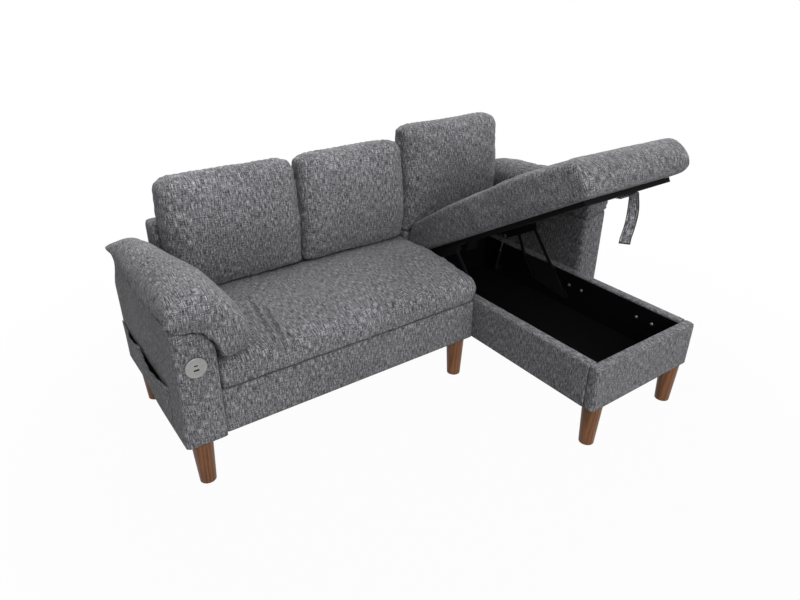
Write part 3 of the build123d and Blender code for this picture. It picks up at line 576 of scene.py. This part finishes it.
def back_cushion(node, seed, creases, beside=None, over=0.0, right_push=TOP_CORNER_PUSH):
    """beside is a lower neighbour on the left, which the top leans over by over."""
    low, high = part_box(node)
    obj = remeshed(f"{node}_pillow", node, 0.009)
    relax(obj.data, 8)
    fit(obj, low, high)
    co = coords(obj.data)
    lean = co[:, 1] - (co[:, 2] - low[2]) * BACK_RAKE
    rear = lean.max()
    foot = step_between(-co[:, 2], -low[2] - 0.016, -low[2] - 0.006)
    puff(obj, np.maximum(step_between(lean, rear - 0.022, rear - 0.008), foot), 2.4, 0.003, 0.003)
    co = coords(obj.data)
    n = normals(obj.data)
    lean = co[:, 1] - (co[:, 2] - low[2]) * BACK_RAKE
    rear = lean.max()
    hem = step_between(lean, rear - 0.05, rear - 0.02)
    hem *= step_between(co[:, 2], high[2] - 0.09, high[2] - 0.03)
    scallop = np.abs(np.sin((co[:, 0] - low[0]) * math.pi / HEM_SCALLOP)) - 0.5
    side = np.minimum(co[:, 0] - low[0], high[0] - co[:, 0])
    near_side = 1 - step_between(side, 0.01, 0.09)
    pulls = np.sin(co[:, 2] * 2 * math.pi / SIDE_PULL + 2 * ripple(co, 9.0, seed + 5)) * near_side
    soft = 0.0024 * ripple(co, 15.0, seed) + 0.0010 * ripple(co, 48.0, seed + 1)
    crease = np.zeros(len(co))
    for share, top, foot, depth in creases:
        line = low[0] + share * (high[0] - low[0]) + 0.08 * (high[2] - co[:, 2])
        run = step_between(co[:, 2], foot, foot + 0.08) * (1 - step_between(co[:, 2], top - 0.06, top))
        crease += depth * run * bell(co[:, 0] - line, 0.004 * ripple(co, 20.0, seed + 7), 0.0075)
    crease *= step_between(-n[:, 1], 0.3, 0.7)
    co += n * (0.0030 * hem * scallop + 0.0010 * pulls + soft - 0.0016 - crease)[:, None]
    rise = np.clip((co[:, 2] - low[2]) / (high[2] - low[2]), 0, 1)
    front_face = step_between(-n[:, 1], -0.1, 0.6) * step_between(side, 0.0, 0.08)
    co[:, 1] -= BACK_BELLY * np.sin(math.pi * rise) * front_face
    to_top = 1 - step_between(high[2] - co[:, 2], 0.0, TOP_CORNER)
    for sign, end, push in ((-1, low[0], TOP_CORNER_PUSH), (1, high[0], right_push)):
        co[:, 0] += sign * push * to_top * (1 - step_between(sign * (end - co[:, 0]), 0.0, TOP_CORNER))
    co[:, 2] += TOP_CORNER_RISE * to_top * (1 - step_between(side, 0.0, TOP_CORNER))
    co[:, 0] = np.clip(co[:, 0], low[0] + SIDE_MARGIN, high[0] - SIDE_MARGIN)
    if beside:
        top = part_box(beside)[1][2]
        near_left = 1 - step_between(co[:, 0] - low[0], 0.0, 0.07)
        co[:, 0] -= over * step_between(co[:, 2], top + 0.004, top + 0.024) * near_left
    put(obj.data, co)
    keep_clear(obj, "back_panel", "chaise_rear_deck")
    finish_soft(obj, LINEN, "sofa", node)


# Chaise lid, shaped as it lies shut and then turned up
LID_PULL = 0.062
LID_LOWERED = 0.007
LID_REAR_LOWERED = 0.007
LID_TOE_SIDEWAYS = 0.011
LID_TOE_FORWARD = 0.009
LID_BESIDE_SEAT = 0.0092


def lid_turn(angle):
    there = Matrix.Translation(Vector(LID_AXIS))
    return there @ Matrix.Rotation(angle, 4, "X") @ there.inverted()


def lid_cushion():
    obj = remeshed("lid_seat_cushion", "lid_cushion", 0.010, lid_turn(LID_ANGLE))
    co = coords(obj.data)
    low, high = co.min(0), co.max(0)
    relax(obj.data, 8)
    fit(obj, low, high)
    co = coords(obj.data)
    puff(obj, step_between(-co[:, 2], -low[2] - 0.015, -low[2] - 0.006), 2.4, 0.0012, 0.002)
    co = coords(obj.data)
    n = normals(obj.data)
    side = np.minimum(co[:, 0] - low[0], high[0] - co[:, 0])
    edge = 1 - step_between(side, 0.004, 0.05)
    pulls = np.sin(co[:, 1] * 2 * math.pi / LID_PULL + 2 * ripple(co, 7.0, 31)) * edge
    soft = 0.0022 * ripple(co, 14.0, 32) + 0.0010 * ripple(co, 50.0, 33)
    free = step_between(co[:, 2], low[2] + 0.004, low[2] + 0.02)
    co += n * (free * (0.0007 * pulls + soft - 0.0018))[:, None]
    toe = (1 - step_between(co[:, 1], low[1], low[1] + 0.16)) * free
    rear_half = step_between(co[:, 1], low[1] + 0.35, low[1] + 0.6)
    rear_half *= 1 - step_between(co[:, 1], high[1] - 0.2, high[1])
    upper = step_between(co[:, 2], low[2] + 0.02, low[2] + 0.09)
    co[:, 2] -= (LID_LOWERED + LID_REAR_LOWERED * rear_half) * upper
    co[:, 0] += LID_TOE_SIDEWAYS * toe * step_between(co[:, 0], high[0] - 0.2, high[0])
    co[:, 1] -= LID_TOE_FORWARD * toe * step_between(co[:, 0], high[0] - 0.3, high[0])
    co[:, 0] = np.maximum(co[:, 0], low[0] + LID_BESIDE_SEAT * step_between(co[:, 1], -0.11, -0.035))
    put(obj.data, co)
    obj.data.transform(lid_turn(-LID_ANGLE))
    keep_clear(obj, "lid_panel", "chaise_rear_deck")
    # The lid takes the darker copy of the linen, as painted shade
    finish_soft(obj, LINEN_LID_SHADED, "lid", "lid_cushion")


# Arm pads
PAD_MIDDLE_HEIGHT = 0.60
PAD_SEAM_PULL = 0.05
PAD_ROLL_HEIGHT = 0.634
PAD_ROLL = 0.007
PAD_ROLL_DROP = 0.009
PAD_DRAPE = 0.030
EAR_HEIGHT = 0.668
EAR_REACH = 0.024
EAR_TUCK_HEIGHT = 0.606
EAR_TUCK = 0.016
RIGHT_PAD_SHORTER = 0.022


def arm_pad(node, body_node, seed):
    low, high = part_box(node)
    outer = -1 if node.startswith("left") else 1
    obj = remeshed(f"{node}_pillow", node, 0.009)
    relax(obj.data, 8)
    fit(obj, low if outer < 0 else (low[0], low[1] + RIGHT_PAD_SHORTER, low[2]), high)
    co = coords(obj.data)
    tree = tree_of(nodes[body_node])
    away = np.array([tree.find_nearest(Vector(p))[3] for p in co])
    puff(obj, 1 - step_between(away, 0.006, 0.016), 2.6, 0.004, 0.003)
    co = coords(obj.data)
    n = normals(obj.data)
    away = np.array([tree.find_nearest(Vector(p))[3] for p in co])
    seam = 1 - step_between(away, 0.012, 0.075)
    front = step_between(-co[:, 1], -low[1] - 0.10, -low[1] - 0.02)
    around = np.arctan2(co[:, 2] - PAD_MIDDLE_HEIGHT, co[:, 0] - (low[0] + high[0]) / 2)
    gathers = np.sin(around * 21 + 1.7 * ripple(co, 10.0, seed + 2)) * seam * front
    run = np.sin(co[:, 1] * 2 * math.pi / PAD_SEAM_PULL + 2.2 * ripple(co, 8.0, seed + 3)) * seam
    soft = 0.0026 * ripple(co, 13.0, seed) + 0.0011 * ripple(co, 44.0, seed + 1)
    co += n * (0.0042 * gathers + 0.0018 * run + soft - 0.0022)[:, None]
    outside = outer * co[:, 0] > abs(high[0] if outer > 0 else low[0]) - 0.0075
    roll = outside * bell(co[:, 2], PAD_ROLL_HEIGHT, 0.024)
    co[:, 0] += outer * PAD_ROLL * roll * (1 - 0.7 * step_between(co[:, 1], 0.3, 0.5))
    co[:, 2] -= PAD_ROLL_DROP * roll
    if outer < 0:
        hanging = step_between(co[:, 0], low[0] + 0.16, high[0])
        hanging *= 1 - step_between(co[:, 1], low[1] + 0.2, low[1] + 0.4)
        co[:, 0] += PAD_DRAPE * hanging * (1 - step_between(co[:, 2], 0.58, 0.70))
    rear = step_between(co[:, 1], high[1] - 0.12, high[1] - 0.01)
    rim = step_between(outer * co[:, 0], 0.90, 0.965)
    tip = bell(co[:, 2], EAR_HEIGHT, 0.019) * rim
    tuck = bell(co[:, 2], EAR_TUCK_HEIGHT, 0.040) * rim
    co[:, 0] += outer * rear * (EAR_REACH * tip - EAR_TUCK * tuck)
    co[:, 2] -= 0.005 * rear * step_between(co[:, 2], 0.66, 0.70)
    put(obj.data, co)
    keep_clear(obj, body_node, "back_panel")
    finish_soft(obj, LINEN, "sofa", node)


seat_cushion()
back_cushion("back_cushion_left", 50, LEFT_CREASES)
back_cushion("back_cushion_middle", 60, MIDDLE_CREASES, "back_cushion_left", 0.006)
back_cushion("back_cushion_right", 70, RIGHT_CREASES, "back_cushion_middle", 0.009, -0.004)
lid_cushion()
arm_pad("left_arm_pad", "left_arm_body", 90)
arm_pad("right_arm_pad", "right_arm_body", 97)


# Thin cloth, laid out as a grid of points with a thickness
def cloth_grid(name, outside, inside, rows, columns, stripe, *materials):
    """outside and inside place the two faces' points by row and column; stripe says where stitching runs."""
    points, faces, marks = [], [], []
    for side in (outside, inside):
        for r in range(rows):
            for c in range(columns):
                points.append(side(r / (rows - 1), c / (columns - 1)))
    shift = rows * columns

    def quad(a, b, c, d, mark):
        faces.append((a, b, c, d))
        marks.append(mark)

    for r in range(rows - 1):
        for c in range(columns - 1):
            a = r * columns + c
            mark = int(stripe((r + 0.5) / (rows - 1), (c + 0.5) / (columns - 1)))
            quad(a, a + 1, a + columns + 1, a + columns, mark)
            quad(a + shift, a + columns + shift, a + columns + 1 + shift, a + 1 + shift, mark)
    for r in range(rows - 1):
        for c, flip in ((0, False), (columns - 1, True)):
            a = r * columns + c
            ring = (a, a + columns, a + columns + shift, a + shift)
            quad(*(ring[::-1] if flip else ring), int(stripe((r + 0.5) / (rows - 1), float(c > 0))))
    for c in range(columns - 1):
        for r, flip in ((0, False), (rows - 1, True)):
            a = r * columns + c
            ring = (a, a + 1, a + 1 + shift, a + shift)
            quad(*(ring[::-1] if flip else ring), int(stripe(float(r > 0), (c + 0.5) / (columns - 1))))
    mesh = bpy.data.meshes.new(name)
    mesh.from_pydata(points, [], faces)
    obj = link(name, mesh)
    paint(obj, *materials)
    mesh.polygons.foreach_set("material_index", np.array(marks, dtype=np.int32))
    smooth_shade(mesh)
    return obj


# Side pocket: a sheet that hangs slack between its seams, with two gaping mouths, and a black sheet on the arm
# behind it as painted shade in the mouths
POCKET_SEAM = 0.3085
POCKET_CLOTH = 0.0022
POCKET_LEAST = 0.0030
REAR_MOUTH_SHARE = 0.7
MOUTH_DIP = 0.010
SHADE_SHEET_CLOTH = 0.0003


def side_pocket():
    low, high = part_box("side_pocket")
    face = high[0]
    seam = low[1] + POCKET_SEAM
    deep = face - low[0]

    def slack(z_share, y):
        if y < seam:
            part, mouth = (y - low[1]) / (seam - low[1]), 1.0
        else:
            part, mouth = (y - seam) / (REAR_MOUTH_SHARE * (high[1] - seam)), 0.8
        swell = max(0.0, math.sin(math.pi * min(max(part, 0.0), 1.0))) ** 0.85
        return 0.0032 + 1.15 * deep * mouth * swell * z_share ** 1.9

    def sheet(offset):
        def place(r, c):
            y = low[1] + (high[1] - low[1]) * c
            part = (y - low[1]) / (seam - low[1]) if y < seam else (y - seam) / (high[1] - seam)
            dip = MOUTH_DIP * (1 - abs(2 * part - 1))
            z = low[2] + (high[2] - low[2] - dip * r) * r
            fold = 0.0012 * math.sin(y * 95.0 + 3.0 * r) * r
            stand = max(slack(r, y) + fold, POCKET_LEAST) - offset
            flush = 0.3 + 0.7 * min(1.0, (y - low[1]) / 0.03)
            return (face - stand * flush - arm_sag(y, z), y, z)
        return place

    # A black sheet on the arm's side behind the pocket, standing in for the shade inside its mouths
    def shade_sheet(offset):
        def place(r, c):
            y = low[1] + 0.012 + (high[1] - low[1] - 0.02) * c
            z = low[2] + 0.004 + (high[2] - low[2] - 0.022) * r
            return (face - arm_sag(y, z) - 0.0004 - offset, y, z)
        return place

    def stripe(r, c):
        y = low[1] + (high[1] - low[1]) * c
        return 0.86 < r < 0.885 or r > 0.985 or abs(y - seam) < 0.003

    def no_stripe(r, c):
        return False

    # Painted shade: the black sheet behind the pocket
    back = cloth_grid("side_pocket_lining", shade_sheet(SHADE_SHEET_CLOTH), shade_sheet(0.0), 20, 90, no_stripe, LINING_AND_PAINTED_SHADE)
    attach(back, "sofa")
    faces = (sheet(0.0), sheet(POCKET_CLOTH))
    obj = cloth_grid("side_pocket_sheet", *faces, 34, 160, stripe, LINEN_FRAME, LINEN_DARK)
    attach(obj, "sofa")
    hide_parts("side_pocket")


side_pocket()

# Pull strap: slack under the lid, over a short bend, then hanging with a twist; its cloth is a lighter copy of the
# linen, as painted light where it hangs in the lid's shadow
STRAP_BEND = 0.020
STRAP_HANG = 0.180
STRAP_CLOTH = 0.0022
STRAP_DROOP = 0.009
STRAP_FOOT_BELOW = 0.011
STRAP_TWIST = math.radians(30)
STRAP_SWAY = 0.012


def pull_strap():
    tab_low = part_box("strap_tab")[0]
    low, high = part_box("pull_strap")
    back = np.array((0.0, math.cos(LID_ANGLE), -math.sin(LID_ANGLE)))
    under = np.array((0.0, -math.sin(LID_ANGLE), -math.cos(LID_ANGLE)))
    tab = coords(nodes["strap_tab"].data)
    run = tab @ back
    root = under * ((tab @ under).min() + 0.0004)
    bend = STRAP_BEND
    flat_run = high[0] - bend - tab_low[0]
    curve = bend * math.pi / 2
    total = flat_run + curve + STRAP_HANG
    swing_width = 0.050

    def face(offset):
        def place(r, c):
            length = total * r
            start = root + back * (run.min() + (run.max() - run.min()) * (0.03 + 0.94 * c))
            level = max(0.0, length - flat_run - curve) / STRAP_HANG
            if length < flat_run:
                x, out, down = tab_low[0] + length, 0.0, 1.0
                z = start[2] - STRAP_DROOP * math.sin(math.pi * length / flat_run)
            elif length < flat_run + curve:
                t = (length - flat_run) / bend
                x, out, down = tab_low[0] + flat_run + bend * math.sin(t), -math.sin(t), math.cos(t)
                z = start[2] - bend * (1 - math.cos(t))
            else:
                x, out, down = tab_low[0] + flat_run + bend, -1.0, 0.0
                top = start[2] - bend
                z = top + (low[2] - STRAP_FOOT_BELOW - top) * level
            half = (c - 0.5) * swing_width
            twist = STRAP_TWIST * min(1.0, 2.5 * level)
            y = start[1] + half * (math.cos(twist) - 1)
            sway = STRAP_SWAY * math.sin(math.pi * min(1.0, 1.15 * level)) - 0.006 * level ** 2
            x += sway - half * math.sin(twist)
            return (x + out * offset, y, z - down * offset)
        return place

    def stripe(r, c):
        return 0.2 < c < 0.26 or 0.74 < c < 0.8 or c < 0.07 or c > 0.93 or r > 0.98

    faces = (face(0.0), face(STRAP_CLOTH))
    # The band takes the lighter copy of the linen, as painted light
    obj = cloth_grid("pull_strap_band", *faces, 90, 44, stripe, LINEN_STRAP_LIT, LINEN_DARK)
    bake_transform(obj)
    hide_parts("pull_strap", "strap_tab")


pull_strap()

# Domed caps on the bolts inside the box, their places from the chaise's front
BOLT_PLACES = (0.153, 0.227, 0.517, 0.587)
BOLT_FACE = 0.007
DOME_RINGS, DOME_SEGMENTS = 4, 20
DOME_RADIUS, DOME_RISE = 0.0066, 0.0028


def dome(points, faces, x, y, z, direction):
    """Adds a dome that stands out from x along direction."""
    first = len(points)
    for ring in range(DOME_RINGS):
        angle = ring / DOME_RINGS * math.pi / 2
        out = x + direction * (0.0001 + DOME_RISE * math.sin(angle))
        r = DOME_RADIUS * math.cos(angle)
        for k in range(DOME_SEGMENTS):
            turn = 2 * math.pi * k / DOME_SEGMENTS
            points.append((out, y + r * math.cos(turn), z + r * math.sin(turn)))
    points.append((x + direction * DOME_RISE * 0.75, y, z))
    for ring in range(DOME_RINGS - 1):
        for k in range(DOME_SEGMENTS):
            a = first + ring * DOME_SEGMENTS + k
            b = first + ring * DOME_SEGMENTS + (k + 1) % DOME_SEGMENTS
            faces.append((a, b, b + DOME_SEGMENTS, a + DOME_SEGMENTS)[::direction])
    last = first + (DOME_RINGS - 1) * DOME_SEGMENTS
    for k in range(DOME_SEGMENTS):
        faces.append((last + k, last + (k + 1) % DOME_SEGMENTS, len(points) - 1)[::direction])


def bolt_caps():
    points, faces = [], []
    low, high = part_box("wall_bolts")
    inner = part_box("box_lining")
    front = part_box("chaise_front_wall")[0][1]
    for x, direction in ((inner[0][0] + BOLT_FACE, 1), (inner[1][0] - BOLT_FACE, -1)):
        for place in BOLT_PLACES:
            dome(points, faces, x, front + place, (low[2] + high[2]) / 2, direction)
    mesh = bpy.data.meshes.new("bolt_domes")
    mesh.from_pydata(points, [], faces)
    obj = link("bolt_domes", mesh)
    smooth_shade(mesh)
    paint(obj, BRIGHT_STEEL)
    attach(obj, "sofa")


bolt_caps()

# Finishes of the CAD pieces that stay in view
FINISH = {
    "walnut": WALNUT,
    "bright_steel": BRIGHT_STEEL,
    "black_steel": BLACK_STEEL,
    "silver_rim": SILVER,
    "dark_plastic": DARK_PLASTIC,
    "black_cloth": LINING_AND_PAINTED_SHADE,
    "board": BOARD,
    "padded_cushion": LINEN,
    "strap_cloth": LINEN,
    "covered_frame": LINEN_FRAME,
}
for part in frame["record"]["subparts"]:
    paint(nodes[part["node"]], FINISH[part["material_slot"]])
# The box's rear wall and floor take the black lining, darkened further as painted shade
for node in ("chaise_rear_wall", "box_floor"):
    paint(nodes[node], LINING_AND_PAINTED_SHADE)

# White floor that keeps the shadow, and a white surround that lights the sofa only a little
FLOOR_HALF = 9
FLOOR_GREY = 0.22
FLOOR_PALING = {"From Min": 1.1, "From Max": 2.4, "To Min": 0.972, "To Max": 1.0}
WORLD_LIGHT = 0.13
WHITE = (1.0, 1.0, 1.0, 1.0)


def seen_white(tree):
    """1 on rays that look at a surface directly, in a mirror or through glass."""
    rays = add(tree, "ShaderNodeLightPath").outputs
    bent = math_node(tree, "MAXIMUM", rays["Is Glossy Ray"], rays["Is Transmission Ray"])
    return math_node(tree, "MAXIMUM", rays["Is Camera Ray"], bent)


floor_mesh = bpy.data.meshes.new("studio_floor")
corners = [(-FLOOR_HALF, -FLOOR_HALF, 0), (FLOOR_HALF, -FLOOR_HALF, 0),
           (FLOOR_HALF, FLOOR_HALF, 0), (-FLOOR_HALF, FLOOR_HALF, 0)]
floor_mesh.from_pydata(corners, [], [(0, 1, 2, 3)])
floor = link("studio_floor", floor_mesh)
floor_colour = (FLOOR_GREY, FLOOR_GREY, FLOOR_GREY, 1.0)
material, tree, shader = new_material("pale_floor", Roughness=0.9, Base_Color=floor_colour)
glow = add(tree, "ShaderNodeEmission", {"Color": WHITE, "Strength": 1.0})
spot = add(tree, "ShaderNodeNewGeometry").outputs["Position"]
reach = add(tree, "ShaderNodeVectorMath", {0: spot}, operation="LENGTH").outputs["Value"]
paling = add(tree, "ShaderNodeMapRange", {"Value": reach, **FLOOR_PALING}, interpolation_type="SMOOTHSTEP")
glow_share = math_node(tree, "MULTIPLY", seen_white(tree), paling.outputs[0])
blend = add(tree, "ShaderNodeMixShader", {0: glow_share, 1: shader.outputs[0], 2: glow.outputs[0]})
tree.links.new(blend.outputs[0], tree.nodes["Material Output"].inputs["Surface"])
paint(floor, material)

world = bpy.data.worlds.new("studio")
scene.world = world
world.use_nodes = True
tree = world.node_tree
dim = add(tree, "ShaderNodeBackground", {"Color": WHITE, "Strength": WORLD_LIGHT})
white = add(tree, "ShaderNodeBackground", {"Color": WHITE, "Strength": 1.0})
blend = add(tree, "ShaderNodeMixShader", {0: seen_white(tree), 1: dim.outputs[0], 2: white.outputs[0]})
tree.links.new(blend.outputs[0], tree.nodes["World Output"].inputs["Surface"])


# Lamps: place, what they point at, size and power
LAMPS = {
    "key": ((-1.2, -4.7, 4.0), (0.0, 0.1, 0.5), 5.5, 372),
    "side": ((4.6, 0.7, 2.2), (0.6, 0.1, 0.4), 2.4, 95),
    "rear": ((0.4, 4.8, 2.4), (0.0, 0.3, 0.4), 3.0, 150),
    "top": ((0.1, -0.2, 4.4), (0.0, 0.0, 0.4), 3.0, 57),
}
for name, (place, target, size, power) in LAMPS.items():
    light = bpy.data.lights.new(name, "AREA")
    light.shape = "DISK"
    light.size = size
    light.energy = power
    lamp = bpy.data.objects.new(name, light)
    scene.collection.objects.link(lamp)
    lamp.location = place
    lamp.rotation_euler = (Vector(target) - Vector(place)).to_track_quat("-Z", "Y").to_euler()

# Camera, fitted to the corners that show in the photograph
CAMERA_PLACE = (-1.37182, -1.73881, 1.59632)
CAMERA_YAW, CAMERA_PITCH, CAMERA_ROLL = 0.626529, -0.487633, 0.008557
FOCAL_LENGTH_PX = 644.789
PICTURE_WIDTH_PX = 800
SENSOR_WIDTH_MM = 36.0
level = math.cos(CAMERA_PITCH)
forward = Vector((math.sin(CAMERA_YAW) * level, math.cos(CAMERA_YAW) * level, math.sin(CAMERA_PITCH)))
right = Vector((math.cos(CAMERA_YAW), -math.sin(CAMERA_YAW), 0.0))
up = right.cross(forward)
cos_roll, sin_roll = math.cos(CAMERA_ROLL), math.sin(CAMERA_ROLL)
right, up = cos_roll * right + sin_roll * up, -sin_roll * right + cos_roll * up
camera_data = bpy.data.cameras.new("camera")
camera_data.sensor_width = SENSOR_WIDTH_MM
camera_data.sensor_fit = "HORIZONTAL"
camera_data.lens = FOCAL_LENGTH_PX / PICTURE_WIDTH_PX * SENSOR_WIDTH_MM
camera_data.clip_end = 60.0
camera = bpy.data.objects.new("camera", camera_data)
scene.collection.objects.link(camera)
turn = Matrix((right, up, -forward)).transposed().to_4x4()
camera.matrix_world = Matrix.Translation(CAMERA_PLACE) @ turn
scene.camera = camera
scene.view_settings.view_transform = "Standard"
